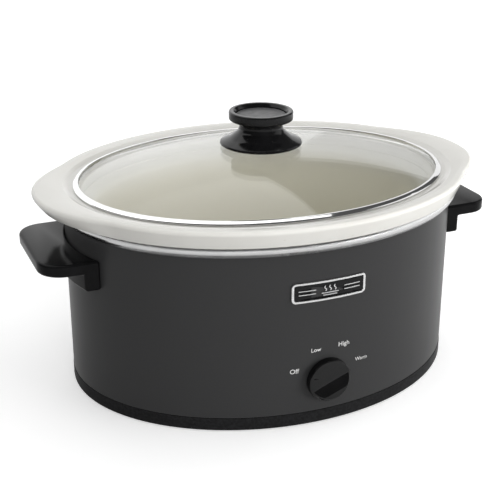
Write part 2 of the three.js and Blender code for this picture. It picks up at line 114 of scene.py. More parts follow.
def finish_object(name, mesh, body, material, stands_for=(), sharp=38):
    """An object of this mesh, shaded smooth but for its sharp edges, riding on a body."""
    for polygon in mesh.polygons:
        polygon.use_smooth = True
    mesh.set_sharp_from_angle(angle=math.radians(sharp))
    obj = bpy.data.objects.new(name, mesh)
    bpy.context.scene.collection.objects.link(obj)
    mesh.materials.clear()
    mesh.materials.append(material)
    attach(obj, body)
    if stands_for:
        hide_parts(*stands_for)
    return obj


def oval_mesh(profile, spread, segments=192, deform=None, closed=False):
    """Vertices and faces of a profile of (b, z) swept round an oval."""
    verts, rings = [], []
    for b, z in profile:
        if b < 1e-6:
            rings.append([len(verts)])
            v = np.array([0.0, 0.0, z])
            verts.append(deform(v, b, 0.0) if deform else v)
            continue
        start = len(verts)
        a = b + spread * min(1.0, b / SPREAD_FROM)
        for k in range(segments):
            t = 2 * math.pi * k / segments
            v = np.array([a * math.cos(t), b * math.sin(t), z])
            verts.append(deform(v, b, t) if deform else v)
        rings.append(list(range(start, start + segments)))
    faces = []
    pairs = list(zip(rings, rings[1:]))
    if closed:
        pairs.append((rings[-1], rings[0]))
    for low, high in pairs:
        for k in range(segments):
            m = (k + 1) % segments
            if len(low) == 1 and len(high) == 1:
                continue
            if len(low) == 1:
                faces.append((low[0], high[m], high[k]))
            elif len(high) == 1:
                faces.append((low[k], low[m], high[0]))
            else:
                faces.append((low[k], low[m], high[m], high[k]))
    return verts, faces


def ellipse_y(x, b=HOUSING_B, spread=HOUSING_SPREAD):
    return b * math.sqrt(max(0.0, 1 - (x / (b + spread)) ** 2))


def on_front(u, v, w, z):
    """The place at u across, v up and w out from the curved front of the housing."""
    a, b = HOUSING_B + HOUSING_SPREAD, HOUSING_B
    y = -ellipse_y(u)
    normal = unit(np.array([u / a ** 2, y / b ** 2]))
    return np.array([u + normal[0] * w, y + normal[1] * w, z + v])


def swept(path, section, closed=True):
    """A section of (across, up) swept along a flat path of (u, v); closed paths make rings."""
    path = [np.array(p, float) for p in path]
    n, m = len(path), len(section)
    verts, faces = [], []
    for i, p in enumerate(path):
        before = path[i - 1] if (closed or i > 0) else p
        after = path[(i + 1) % n] if (closed or i < n - 1) else p
        along = unit(after - before)
        side = np.array([along[1], -along[0]])
        for s, h in section:
            q = p + side * s
            verts.append((q[0], q[1], h))
    for i in range(n if closed else n - 1):
        for k in range(m):
            a, b = i * m + k, i * m + (k + 1) % m
            c, d = ((i + 1) % n) * m + (k + 1) % m, ((i + 1) % n) * m + k
            faces.append((a, b, c, d))
    if not closed:
        faces.append(tuple(range(m - 1, -1, -1)))
        faces.append(tuple((n - 1) * m + k for k in range(m)))
    return verts, faces


def rounded_bar(width, height, corner, steps=8, along=24):
    """The outline of a bar with rounded corners, with points along its long sides."""
    w, h = width / 2 - corner, height / 2 - corner
    out = []
    for cx, cy, a0 in ((w, h, 0), (-w, h, 90), (-w, -h, 180), (w, -h, 270)):
        for k in range(steps + 1):
            a = math.radians(a0 + 90 * k / steps)
            out.append((cx + corner * math.cos(a), cy + corner * math.sin(a)))
        side = -1 if cy > 0 else 1
        if a0 in (0, 180):
            for k in range(1, along):
                out.append((side * w * (2 * k / along - 1), math.copysign(height / 2, cy)))
    return out


def prism(outline, low, high, edge, steps=4):
    """A plate of this outline from low to high, its rim rounded at both faces by edge."""
    pts = np.array(outline, float)
    n = len(pts)
    tangent = np.roll(pts, -1, 0) - np.roll(pts, 1, 0)
    tangent /= np.linalg.norm(tangent, axis=1)[:, None]
    inward = np.stack([-tangent[:, 1], tangent[:, 0]], 1)
    if (np.roll(pts, -1, 0)[:, 0] * pts[:, 1] - pts[:, 0] * np.roll(pts, -1, 0)[:, 1]).sum() > 0:
        inward = -inward
    levels = []
    for k in range(steps + 1):
        a = math.pi / 2 * k / steps
        levels.append((edge * (1 - math.sin(a)), low + edge * (1 - math.cos(a))))
    levels += [(inset, high - (z - low)) for inset, z in reversed(levels)]
    verts, faces = [], []
    for inset, z in levels:
        verts += [(x, y, z) for x, y in pts + inward * inset]
    for i in range(len(levels) - 1):
        for k in range(n):
            m = (k + 1) % n
            faces.append((i * n + k, i * n + m, (i + 1) * n + m, (i + 1) * n + k))
    faces.append(tuple(range(n - 1, -1, -1)))
    faces.append(tuple((len(levels) - 1) * n + k for k in range(n)))
    return verts, faces


def evaluated(obj):
    """The object's mesh with its modifiers applied."""
    bpy.context.view_layer.update()
    graph = bpy.context.evaluated_depsgraph_get()
    return bpy.data.meshes.new_from_object(obj.evaluated_get(graph))


# ---- materials ----------------------------------------------------------------------------
class Paint:
    """A Principled material whose colour, roughness and bump come from noise at real scale."""

    def __init__(self, name, color, roughness, **sockets):
        self.material = bpy.data.materials.new(name)
        self.material.use_nodes = True
        self.tree = self.material.node_tree
        self.nodes, self.links = self.tree.nodes, self.tree.links
        self.shader = self.nodes["Principled BSDF"]
        self.color = (*color, 1.0)
        self.shader.inputs["Base Color"].default_value = self.color
        self.shader.inputs["Roughness"].default_value = roughness
        self.roughness = roughness
        for socket, value in sockets.items():
            self.shader.inputs[socket.replace("_", " ")].default_value = value
        self.place = self.nodes.new("ShaderNodeTexCoord").outputs["Object"]
        self.normal = None

    def noise(self, size_mm, detail=3.0, stretch=(1, 1, 1)):
        """Noise whose blotches are about size_mm across, stretched along an axis."""
        mapping = self.nodes.new("ShaderNodeMapping")
        mapping.inputs["Scale"].default_value = stretch
        self.links.new(self.place, mapping.inputs["Vector"])
        noise = self.nodes.new("ShaderNodeTexNoise")
        noise.inputs["Scale"].default_value = 1000.0 / size_mm
        noise.inputs["Detail"].default_value = detail
        noise.inputs["Distortion"].default_value = 0.0
        self.links.new(mapping.outputs[0], noise.inputs["Vector"])
        return noise.outputs["Fac"]

    def spread_over(self, source, low, high, from_low=0.3, from_high=0.7):
        span = self.nodes.new("ShaderNodeMapRange")
        span.inputs["From Min"].default_value = from_low
        span.inputs["From Max"].default_value = from_high
        span.inputs["To Min"].default_value = low
        span.inputs["To Max"].default_value = high
        self.links.new(source, span.inputs["Value"])
        return span.outputs[0]

    def vary_roughness(self, size_mm, by, detail=4.0, stretch=(1, 1, 1)):
        source = self.noise(size_mm, detail, stretch)
        self.links.new(
            self.spread_over(source, max(0.0, self.roughness - by), self.roughness + by),
            self.shader.inputs["Roughness"])
        return self

    def vary_color(self, size_mm, other, detail=4.0, stretch=(1, 1, 1), low=0.35, high=0.65):
        mix = self.nodes.new("ShaderNodeMix")
        mix.data_type = "RGBA"
        fed = self.shader.inputs["Base Color"]
        if fed.is_linked:
            self.links.new(fed.links[0].from_socket, mix.inputs["A"])
        else:
            mix.inputs["A"].default_value = self.color
        mix.inputs["B"].default_value = (*other, 1.0)
        source = self.noise(size_mm, detail, stretch)
        self.links.new(self.spread_over(source, 0.0, 1.0, low, high), mix.inputs["Factor"])
        self.links.new(mix.outputs["Result"], fed)
        return self

    def paint_shade_tint_below(self, height_mm, other):
        """A painted tint of shade: a slow change to another colour over the 25 mm under this height."""
        axes = self.nodes.new("ShaderNodeSeparateXYZ")
        self.links.new(self.place, axes.inputs[0])
        mix = self.nodes.new("ShaderNodeMix")
        mix.data_type = "RGBA"
        fed = self.shader.inputs["Base Color"]
        self.links.new(fed.links[0].from_socket, mix.inputs["A"])
        mix.inputs["B"].default_value = (*other, 1.0)
        depth = self.spread_over(axes.outputs["Z"], 1.0, 0.0, (height_mm - 25) * MM, height_mm * MM)
        self.links.new(depth, mix.inputs["Factor"])
        self.links.new(mix.outputs["Result"], fed)
        return self

    def bump(self, size_mm, depth_mm, strength=0.5, detail=2.0, stretch=(1, 1, 1)):
        bump = self.nodes.new("ShaderNodeBump")
        bump.inputs["Strength"].default_value = strength
        bump.inputs["Distance"].default_value = depth_mm * MM
        self.links.new(self.noise(size_mm, detail, stretch), bump.inputs["Height"])
        if self.normal:
            self.links.new(self.normal, bump.inputs["Normal"])
        self.normal = bump.outputs["Normal"]
        self.links.new(self.normal, self.shader.inputs["Normal"])
        return self


def glaze():
    """Off-white glaze: a slightly uneven tone, a painted warm tint of shade low inside, a soft ripple, and
    rare tiny specks.
    """
    paint = Paint("stoneware_glaze", (0.80, 0.79, 0.75), 0.16, Specular_IOR_Level=0.35)
    # Under 166 mm the inside wall is painted warmer and yellower: a painted tint of the shade that the rim
    # casts on the lower inside.
    paint.vary_color(55, (0.77, 0.758, 0.715)).paint_shade_tint_below(166, (0.85, 0.825, 0.73))
    paint.vary_color(3.2, (0.70, 0.68, 0.61), 2.0, low=0.74, high=0.78)
    return paint.vary_roughness(30, 0.03).bump(26, 0.25, 0.35).bump(2.5, 0.01, 0.25).material


def charcoal():
    """Charcoal powder coat: a fine orange peel and a faint unevenness of gloss."""
    paint = Paint("charcoal_paint", (0.033, 0.033, 0.0335), 0.30, Specular_IOR_Level=0.18)
    paint.vary_color(70, (0.0322, 0.0322, 0.0327)).vary_color(0.45, (0.038, 0.038, 0.0386), 2.0)
    return paint.vary_roughness(45, 0.012).bump(1.3, 0.02, 0.35).bump(0.4, 0.006, 0.3).material


def gloss_black(name="black_gloss", roughness=0.13, level=0.22, tone=0.005):
    """Moulded glossy plastic: very slight flow marks, and fine hairlines from wiping."""
    paint = Paint(name, (tone, tone, 1.05 * tone), roughness, Specular_IOR_Level=level)
    paint.vary_color(12, (1.6 * tone, 1.6 * tone, 1.7 * tone))
    paint.vary_roughness(9, 0.03, stretch=(1, 1, 2.5))
    return paint.bump(18, 0.05, 0.3).bump(0.7, 0.003, 0.2).material


def grained_black():
    """Satin black plastic with a fine moulded grain."""
    paint = Paint("black_base", (0.011, 0.011, 0.0113), 0.36, Specular_IOR_Level=0.04)
    paint.vary_color(2.0, (0.020, 0.020, 0.021))
    return paint.vary_roughness(20, 0.05).bump(0.7, 0.03, 0.45, 3.0).material


def polished(name, tone, roughness, hairlines=(1, 1, 18)):
    """Polished metal with faint drawn lines and a slight cloudiness."""
    paint = Paint(name, tone, roughness, Metallic=1.0)
    paint.vary_color(25, tuple(0.93 * c for c in tone))
    paint.vary_roughness(14, roughness * 0.3, stretch=hairlines)
    return paint.bump(2.0, 0.004, 0.25, stretch=hairlines).material


def pressed(name, tone, roughness):
    """Plated or aluminised sheet: a mottled tone and fine rolling marks."""
    paint = Paint(name, tone, roughness, Metallic=1.0)
    paint.vary_color(6, tuple(0.8 * c for c in tone)).vary_color(0.8, tuple(1.1 * c for c in tone), 2.0)
    return paint.vary_roughness(8, 0.08).bump(0.9, 0.01, 0.35).material


def rubber(name, color):
    """Matt rubber or wire insulation with a fine skin."""
    paint = Paint(name, color, 0.62)
    paint.vary_color(4, tuple(1.5 * c + 0.004 for c in color))
    return paint.vary_roughness(3, 0.1).bump(0.5, 0.02, 0.4).material


def moulded(name, color, roughness=0.55):
    """A plain moulded or printed surface with a fine texture."""
    paint = Paint(name, color, roughness)
    paint.vary_color(5, tuple(0.85 * c for c in color))
    return paint.vary_roughness(5, 0.06).bump(0.8, 0.015, 0.35).material


def clear_glass():
    """Thin clear glass: what is behind shows through, and the surface mirrors by Fresnel."""
    material = bpy.data.materials.new("lid_glass")
    material.use_nodes = True
    nodes, links = material.node_tree.nodes, material.node_tree.links
    nodes.clear()
    out = nodes.new("ShaderNodeOutputMaterial")
    mix = nodes.new("ShaderNodeMixShader")
    clear = nodes.new("ShaderNodeBsdfTransparent")
    clear.inputs["Color"].default_value = (0.982, 0.985, 0.978, 1)
    gloss = nodes.new("ShaderNodeBsdfGlossy")
    gloss.inputs["Roughness"].default_value = 0.006
    facing = nodes.new("ShaderNodeLayerWeight")
    facing.inputs["Blend"].default_value = 0.5
    # Schlick's curve for glass: 4 percent head on, rising to all of it at grazing
    power = nodes.new("ShaderNodeMath")
    power.operation = "POWER"
    power.inputs[1].default_value = 5.0
    share = nodes.new("ShaderNodeMapRange")
    share.inputs["To Min"].default_value = 0.04
    links.new(facing.outputs["Facing"], power.inputs[0])
    links.new(power.outputs[0], share.inputs["Value"])
    place = nodes.new("ShaderNodeTexCoord")
    noise = nodes.new("ShaderNodeTexNoise")
    noise.inputs["Scale"].default_value = 22.0
    bump = nodes.new("ShaderNodeBump")
    bump.inputs["Strength"].default_value = 0.05
    bump.inputs["Distance"].default_value = 0.0004
    links.new(place.outputs["Object"], noise.inputs["Vector"])
    links.new(noise.outputs["Fac"], bump.inputs["Height"])
    links.new(bump.outputs["Normal"], gloss.inputs["Normal"])
    links.new(share.outputs[0], mix.inputs["Fac"])
    links.new(clear.outputs[0], mix.inputs[1])
    links.new(gloss.outputs[0], mix.inputs[2])
    links.new(mix.outputs[0], out.inputs["Surface"])
    return material


LOOK = {
    "stoneware_glaze": glaze(),
    "charcoal_paint": charcoal(),
    "black_gloss": gloss_black(),
    "dial_black": gloss_black("dial_black", 0.12, 0.38, 0.003),
    "black_satin": gloss_black("black_satin", 0.16, 0.07),
    "badge_black": gloss_black("badge_black"),
    "black_base": grained_black(),
    "polished_steel": polished("polished_steel", (0.82, 0.82, 0.82), 0.05),
    "badge_frame_metal": polished("badge_frame_metal", (0.93, 0.93, 0.93), 0.28),
    "aluminised_steel": polished("aluminised_steel", (0.78, 0.78, 0.78), 0.22),
    "zinc_steel": pressed("zinc_steel", (0.50, 0.51, 0.53), 0.34),
    "heater_foil": pressed("heater_foil", (0.66, 0.66, 0.67), 0.30),
    "cutout_case": pressed("cutout_case", (0.62, 0.62, 0.62), 0.28),
    "lid_glass": clear_glass(),
    "grey_inset": moulded("grey_inset", (0.06, 0.06, 0.063), 0.40),
    "black_rubber": rubber("black_rubber", (0.012, 0.012, 0.013)),
    "switch_body": moulded("switch_body", (0.34, 0.28, 0.18)),
    "terminal_ceramic": moulded("terminal_ceramic", (0.66, 0.63, 0.56), 0.5),
    "wire_grey": rubber("wire_grey", (0.05, 0.05, 0.052)),
    "wire_red": rubber("wire_red", (0.28, 0.025, 0.02)),
    "wire_blue": rubber("wire_blue", (0.025, 0.07, 0.22)),
    "label_white": moulded("label_white", (0.80, 0.80, 0.79), 0.5),
}


def oval_piece(name, corners, spread, body, slot, closed=False, longest=12.0, segments=192, deform=None):
    """A piece whose rounded outline is swept round an oval; it replaces the node of its name."""
    profile = dense(rounded(corners, closed), longest)
    verts, faces = oval_mesh(profile, spread, segments, deform, closed)
    return make(name, verts, faces, body, slot, LOOK[slot], stands_for=(name,))


def round_piece(name, corners, body, slot, closed=False, segments=96, turn=None):
    """A turned piece; turn moves it from the Z axis to where it belongs."""
    profile = rounded(corners, closed)
    verts, faces = oval_mesh(profile, 0.0, segments, closed=closed)
    if turn:
        verts = [turn(v) for v in verts]
    return make(name, verts, faces, body, slot, LOOK[slot], stands_for=(name,))


# ---- crock --------------------------------------------------------------------------------
EAR_REACH, EAR_WIDTH, EAR_LIFT = 14.0, 80.0, 4.6


def smooth(t):
    """A smooth step from 0 to 1 as t goes from 0 to 1."""
    t = min(1.0, max(0.0, t))
    return t * t * (3 - 2 * t)


def ear(y):
    """How much of an ear there is at this y, from 1 at its middle to 0 past its sides."""
    return max(0.0, 1 - (abs(y) / EAR_WIDTH) ** 3) ** 1.5


def pull_ears(v, b, _):
    """Draws the rim's two ends out into ears, and lifts their undersides."""
    x, y, z = v
    if z < 160 or b < 139:
        return v
    w = ear(y)
    x += math.copysign(EAR_REACH * w * smooth((b - 139.3) / 9), x)
    z += EAR_LIFT * w * smooth((b - 141) / 7) * min(1.0, max(0.0, (177 - z) / 11.75))
    return np.array([x, y, z])


CROCK = [
    (0, 43), (109.6, 43, 20), (114.5, 157.5, 9), (127.9, 168.5, 6), (128.3, 177.6, 0.9), (135.2, 177.6, 5),
    (139.4, 179.9, 1.0), (144.8, 181, 7), (153.65, 181, 4.0), (147.1, 165.25, 0.9), (143, 165.25),
    (122.3, 165.25, 1.5), (118, 58), (116.6, 34, 14), (99, 34, 1.5), (96, 36, 1.5), (0, 36)]
oval_piece("crock", CROCK, CROCK_SPREAD, "crock_body", "stoneware_glaze", deform=pull_ears, segments=256)

# ---- lid ----------------------------------------------------------------------------------
GLASS_CROWN, GLASS_EDGE, GLASS_THICK = 203.2, 127.0, 3.0
LID_B = 131.3
GLASS_DROP = 25.3  # how far the dome falls from its crown to LID_B
GLASS_HOLE = 4.0


def glass_top(b):
    """Height of the dome's outside where the oval's half-depth is b."""
    return GLASS_CROWN - GLASS_DROP * (b / LID_B) ** 2


def glass_mesh(segments=160):
    """The dome as two skins joined at the rim and round the knob's hole."""
    bs = [GLASS_HOLE + (GLASS_EDGE - GLASS_HOLE) * k / 40 for k in range(41)]
    profile = [(b, glass_top(b)) for b in bs] + [(b, glass_top(b) - GLASS_THICK) for b in reversed(bs)]
    verts, rings = [], []
    for b, z in profile:
        start = len(verts)
        a = b + CROCK_SPREAD * b / LID_B
        for k in range(segments):
            t = 2 * math.pi * k / segments
            verts.append((a * math.cos(t), b * math.sin(t), z))
        rings.append(start)
    faces = []
    for i, low in enumerate(rings):
        high = rings[(i + 1) % len(rings)]
        for k in range(segments):
            m = (k + 1) % segments
            faces.append((low + k, low + m, high + m, high + k))
    return verts, faces


make("lid_glass", *glass_mesh(), "lid", "lid_glass", LOOK["lid_glass"], stands_for=("lid_glass",), sharp=60)

LIP, SLOT = 126.2, 127.3
RIM = [
    (127.2, 173.0, 0.3), (128.0, 173.0, 0.3), (128.0, 177.9, 0.5), (LID_B, 177.9, 0.5), (131.0, 179.2, 1.5),
    (128.6, 180.85, 2.4), (126.35, 180.85, 0.32), (LIP, glass_top(LIP) + 0.3), (SLOT, glass_top(SLOT) + 0.3),
    (SLOT, glass_top(SLOT) - GLASS_THICK - 0.3), (LIP, glass_top(LIP) - GLASS_THICK - 0.3), (LIP, 175.6, 0.2),
    (127.2, 175.3)]
oval_piece("lid_rim", RIM, CROCK_SPREAD, "lid", "polished_steel", closed=True, segments=256)

KNOB = [
    (0, 219.3), (2.8, 219.3), (2.8, 205.3), (14, 205.3), (14, 203.5), (34.4, 203.5, 0.6), (36.25, 204.6, 0.8),
    (35.6, 206.4, 1.2), (27.5, 209.9, 14), (19.2, 216.5, 8), (19.0, 222.6, 5), (22.2, 225.2, 3),
    (28.15, 225.4, 1.6), (28.15, 233.4, 1.4), (24.2, 233.4, 1.0), (22.1, 230.6, 1.0), (22.0, 227.8, 0.3),
    (0, 227.8)]
round_piece("lid_knob", KNOB, "lid", "black_gloss", segments=128)
round_piece("lid_knob_cap", [(0, 228.1), (21.7, 228.1, 0.2), (21.7, 229.9, 0.5), (20.2, 229.9, 0.3),
                             (19.9, 229.6, 0.2), (0, 229.6)], "lid", "grey_inset")
round_piece("lid_knob_gasket", [(3.2, 203.5, 0.2), (13, 203.5, 0.4), (13, 205, 0.4), (3.2, 205, 0.2)],
            "lid", "black_rubber", closed=True)
round_piece("lid_screw_washer", [(3.2, 198.5, 0.15), (9, 198.5, 0.4), (9, 199.7, 0.2), (3.2, 199.7, 0.15)],
            "lid", "zinc_steel", closed=True)

# ---- housing and base ---------------------------------------------------------------------
SEAM_STEP = 0.35  # how far the lapped sheet stands out
FOOT_X, FOOT_Y = 118.0, 72.0


def seam(v, b, t):
    """A lapped seam down the back of the housing."""
    if b < 138.6:
        return v
    across = (t - math.pi / 2) * (HOUSING_B + HOUSING_SPREAD) + 60
    step = SEAM_STEP * (smooth((across + 7) / 1.2) - smooth((across - 5.5) / 1.2))
    return v + np.array([math.cos(t), math.sin(t), 0]) * step


HOUSING = [(139.0, 12.3, 0.3), (139.0, 162.6, 0.3), (138.2, 162.6, 0.3), (138.2, 12.3, 0.3)]
oval_piece("housing", HOUSING, HOUSING_SPREAD, "heating_base", "charcoal_paint", closed=True, segments=384,
           deform=seam, longest=15)

BASE = [
    (0, 4.2), (128.6, 4.2, 1.2), (130.8, 0.8, 0.8), (139.3, 0.8, 0.9), (139.3, 12.0, 0.55),
    (137.8, 12.0), (137.8, 19, 0.3), (135.6, 19, 0.3), (135.6, 6.6, 1.0), (0, 6.6)]
oval_piece("base", BASE, HOUSING_SPREAD, "heating_base", "black_base", segments=256)

FOOT = [(0, 0.6), (5.5, 0.6, 0.4), (6.4, 0, 0.4), (9.2, 0, 0.6), (10, 1.2, 0.8), (10, 3.9, 0.4), (3, 3.9),
        (3, 6.9), (4.6, 7.2, 0.3), (3, 10, 0.6), (0, 10.4)]
for row, sy in (("front", -1), ("back", 1)):
    for hand, sx in (("left", -1), ("right", 1)):
        centre = np.array([FOOT_X * sx, FOOT_Y * sy, 0])
        round_piece(f"foot_{row}_{hand}", FOOT, "heating_base", "black_rubber", segments=48,
                    turn=lambda v, c=centre: v + c)

# ---- heating well -------------------------------------------------------------------------
WELL = [
    (0, 30), (114, 30, 16), (121.6, 56), (125.0, 158, 2), (126.8, 164.95, 1.2), (146.2, 164.95, 1.4),
    (147.0, 160.8, 4), (143.2, 156, 0.35), (142.3, 156.7, 0.35), (145.5, 161, 3), (144.8, 164.1, 1),
    (127.6, 164.1, 1), (125.8, 158), (122.4, 56), (114.8, 29.2, 16), (0, 29.2)]
oval_piece("heating_well", WELL, WELL_SPREAD, "heating_base", "aluminised_steel", segments=256)

# ---- handles ------------------------------------------------------------------------------
HANDLE_TOP, HANDLE_PLATE, HANDLE_BOTTOM = 138.5, 10.4, 112.6
HANDLE_END, HANDLE_HALF, HANDLE_CORNER = 211.0, 52.5, 21.0
HANDLE_EDGE = 2.2
LEG_END, LEG_RADIUS = 184.5, 162.0


def inner_edge(half, gap=0.3, steps=24):
    """The handle's edge that follows the housing's end, a small gap away from it."""
    a, b = HOUSING_B + HOUSING_SPREAD, HOUSING_B
    ys = [half - 2 * half * k / steps for k in range(steps + 1)]
    return [(a * math.sqrt(1 - (y / b) ** 2) + gap, y) for y in ys]


def handle_mesh():
    """The right handle: a flat plate joined to a curved leg, with all edges rounded."""
    straight = HANDLE_HALF - HANDLE_CORNER
    cx = HANDLE_END - HANDLE_CORNER
    plate = []
    for cy, a0 in ((-straight, -90), (straight, 0)):
        for k in range(17):
            a = math.radians(a0 + 90 * k / 16)
            plate.append((cx + HANDLE_CORNER * math.cos(a), cy + HANDLE_CORNER * math.sin(a)))
    half = math.asin(HANDLE_HALF / LEG_RADIUS)
    leg = []
    for k in range(33):
        a = half * (k / 16 - 1)
        leg.append((LEG_END - LEG_RADIUS + LEG_RADIUS * math.cos(a), LEG_RADIUS * math.sin(a)))
    inner = inner_edge(HANDLE_HALF)
    solids = []
    for outline, low, high in ((plate, HANDLE_TOP - HANDLE_PLATE, HANDLE_TOP),
                               (leg, HANDLE_BOTTOM, HANDLE_TOP - 4)):
        loop = outline + inner
        n = len(loop)
        verts = [(x * MM, y * MM, z * MM) for z in (low, high) for x, y in loop]
        faces = [(k, (k + 1) % n, n + (k + 1) % n, n + k) for k in range(n)]
        faces += [tuple(range(n - 1, -1, -1)), tuple(range(n, 2 * n))]
        mesh = bpy.data.meshes.new("handle_part")
        mesh.from_pydata(verts, [], faces)
        solid = bpy.data.objects.new("handle_part", mesh)
        bpy.context.scene.collection.objects.link(solid)
        solids.append(solid)
    body, other = solids
    union = body.modifiers.new("union", "BOOLEAN")
    union.operation, union.solver, union.object = "UNION", "EXACT", other
    weld = body.modifiers.new("weld", "WELD")
    weld.merge_threshold = 2e-6
    bevel = body.modifiers.new("bevel", "BEVEL")
    bevel.width, bevel.segments, bevel.limit_method = HANDLE_EDGE * MM, 5, "ANGLE"
    bevel.angle_limit = math.radians(40)
    bevel.harden_normals = False
    mesh = evaluated(body)
    for solid in solids:
        bpy.data.objects.remove(solid)
    return mesh


right = handle_mesh()
left = right.copy()
left.transform(Matrix.Scale(-1, 4, Vector((1, 0, 0))))
left.flip_normals()
for name, mesh in (("right_handle", right), ("left_handle", left)):
    finish_object(name, mesh, "heating_base", LOOK["black_satin"], (name,), 50)

# ---- badge and labels ---------------------------------------------------------------------
def front_piece(name, verts, faces, slot, look, stands_for=(), z=BADGE_Z, sharp=50):
    """A flat piece of (across, up, out) laid on the curved front of the housing."""
    return make(name, [on_front(u, v, w, z) for u, v, w in verts], faces, "heating_base", slot, LOOK[look],
                stands_for, sharp)


FRAME_INSET = 1.1  # from the badge's outline to the middle of the frame's bar
FRAME_SECTION = [tuple(p) for p in rounded(
    [(-1.05, 0.3), (1.05, 0.3), (1.05, 1.6, 0.55), (-1.05, 1.6, 0.55)], closed=True, step=15)]
verts, faces = swept(
    rounded_bar(BADGE_WIDTH - 2 * FRAME_INSET, BADGE_HEIGHT - 2 * FRAME_INSET, 2.6, 10, 40), FRAME_SECTION)
front_piece("badge_frame", verts, faces, "badge_frame_metal", "badge_frame_metal", ("badge_frame",))
verts, faces = prism(rounded_bar(60.2, 12.4, 1.5, 6, 40), 0.3, 1.15, 0.15)
front_piece("badge_inlay", verts, faces, "badge_black", "badge_black", ("badge_inlay",))

# A generic raised motif on the badge: three wisps of steam over a dish, between pairs of stripes.
LINE = [tuple(p) for p in rounded(
    [(-0.42, 1.1), (0.42, 1.1), (0.42, 1.5, 0.2), (-0.42, 1.5, 0.2)], closed=True, step=30)]


def motif():
    """The motif's lines as one mesh."""
    paths = []
    for u in (-4.2, 0.0, 4.2):
        paths.append([(u + 0.8 * math.sin(math.pi * 2 * k / 16), -0.6 + 4.6 * k / 16) for k in range(17)])
    paths.append([(-7.5 + 15.0 * k / 10, -2.1) for k in range(11)])
    paths.append([(-6.0 + 12.0 * k / 10, -4.0) for k in range(11)])
    for side in (-1, 1):
        for v in (-1.6, 1.6):
            paths.append([(side * (12.5 + 14.5 * k / 12), v) for k in range(13)])
    verts, faces = [], []
    for path in paths:
        more, quads = swept(path, LINE, closed=False)
        faces += [tuple(i + len(verts) for i in quad) for quad in quads]
        verts += more
    return verts, faces


verts, faces = motif()
front_piece("badge_motif", verts, faces, "badge_frame_metal", "badge_frame_metal")


def label(text, width, u, v):
    """A printed word on the housing, centred at u across and v up."""
    curve = bpy.data.curves.new("label", "FONT")
    curve.body = text
    curve.size = 6.0
    curve.align_x = "CENTER"
    curve.extrude = 0.03
    curve.offset = 0.01
    curve.resolution_u = 4
    holder = bpy.data.objects.new("label", curve)
    bpy.context.scene.collection.objects.link(holder)
    mesh = evaluated(holder)
    bpy.data.objects.remove(holder)
    points = np.array([p.co for p in mesh.vertices], float)
    scale = width / (points[:, 0].max() - points[:, 0].min())
    points[:, 0] *= scale
    points[:, 1] *= scale
    points[:, :2] -= (points[:, :2].max(0) + points[:, :2].min(0)) / 2
    verts = [(x + u, y, 0.10 + z) for x, y, z in points]
    faces = [tuple(p.vertices) for p in mesh.polygons]
    front_piece(f"label_{text.lower()}", verts, faces, "badge_frame_metal", "label_white", z=v)


label("Off", 7.8, -28.8, 51.7)
label("Low", 8.6, -10.4, 68.6)
label("High", 10.0, 14.9, 69.1)
label("Warm", 11.7, 32.4, 51.8)


# ---- dial ---------------------------------------------------------------------------------
def to_dial(v):
    """From a piece turned about Z to the dial's axis, with +Z pointing out of the front."""
    return np.array([v[0], -HOUSING_B - v[2], DIAL_Z + v[1]])


DIAL_FACE, DIAL_CREST = 6.9, 11.0
DIAL_EDGE = 18.2  # the grip ends inside this radius
RAMP_SLOPE = 0.4
CONE_RADIUS, CONE_HEIGHT, CONE_SLOPE = 17.4, 7.3, 1.5
RAMP_DOWN = unit(np.array([0.365, -0.931]))


def soft(a, b, blend):
    """The larger of two heights, or with a negative blend the smaller, rounded where they meet."""
    return (a + b + math.copysign(math.hypot(a - b, blend), blend)) / 2


def finger_grip(v, b, _):
    """A ramp across the lower half of the dial's face, cut round by a cone."""
    if b > DIAL_EDGE or v[2] < 5.6:
        return v
    ramp = DIAL_FACE + RAMP_SLOPE * float(v[:2] @ RAMP_DOWN)
    cone = CONE_HEIGHT + (CONE_RADIUS - b) * CONE_SLOPE
    height = soft(DIAL_FACE, soft(soft(ramp, cone, -0.5), DIAL_CREST, -0.4), 0.35)
    return v + np.array([0, 0, (height - DIAL_FACE) * smooth((DIAL_EDGE - b) / 0.8)])


edge = rounded([(9.6, 0.6), (18.9, 0.6, 0.4), (18.9, 2.0, 0.8), (18.65, DIAL_FACE, 1.1), (16.8, DIAL_FACE)])
back = [np.array(p) for p in ((0, 5.5), (3.4, 5.5), (3.4, 3.6), (9.6, 3.6))]
face = [np.array([r, DIAL_FACE]) for r in np.linspace(16.5, 0, 42)]
verts, faces = oval_mesh(back + edge + face, 0.0, 160, deform=finger_grip)
make("control_dial", [to_dial(v) for v in verts], faces, "dial", "black_gloss", LOOK["dial_black"],
     stands_for=("control_dial",))

# The pointer is a short moulded rib near the dial's edge; at rest it points at Off.
OFF = math.radians(-72)
POINTER_FROM_AXIS = 13.6
rib = [(0.55 * math.cos(a), 2.2 * math.sin(a)) for a in np.linspace(0, 2 * math.pi, 25)[:-1]]
verts, faces = prism(rib, 6.6, 7.5, 0.2)
verts = [(x, y + POINTER_FROM_AXIS, z) for x, y, z in verts]
verts = [to_dial((x * math.cos(OFF) + y * math.sin(OFF), -x * math.sin(OFF) + y * math.cos(OFF), z))
         for x, y, z in verts]
make("dial_pointer", verts, faces, "dial", "black_gloss", LOOK["dial_black"])


# ---- cord gland ---------------------------------------------------------------------------
GLAND_Z = 34.0


def to_gland(v):
    """From a piece turned about Z to the gland's axis, with +Z pointing out of the back."""
    return np.array([v[0], HOUSING_B + v[2], GLAND_Z + v[1]])


GLAND = [(3.6, -6.6), (5.6, -6.6, 0.3), (5.6, 0.3), (8.4, 0.3, 0.4), (8.4, 3.4, 0.9), (6.4, 4.2, 0.8),
         (5.7, 8, 0.8), (3.6, 8, 0.5)]
round_piece("cord_gland", GLAND, "heating_base", "black_rubber", closed=True, segments=64, turn=to_gland)

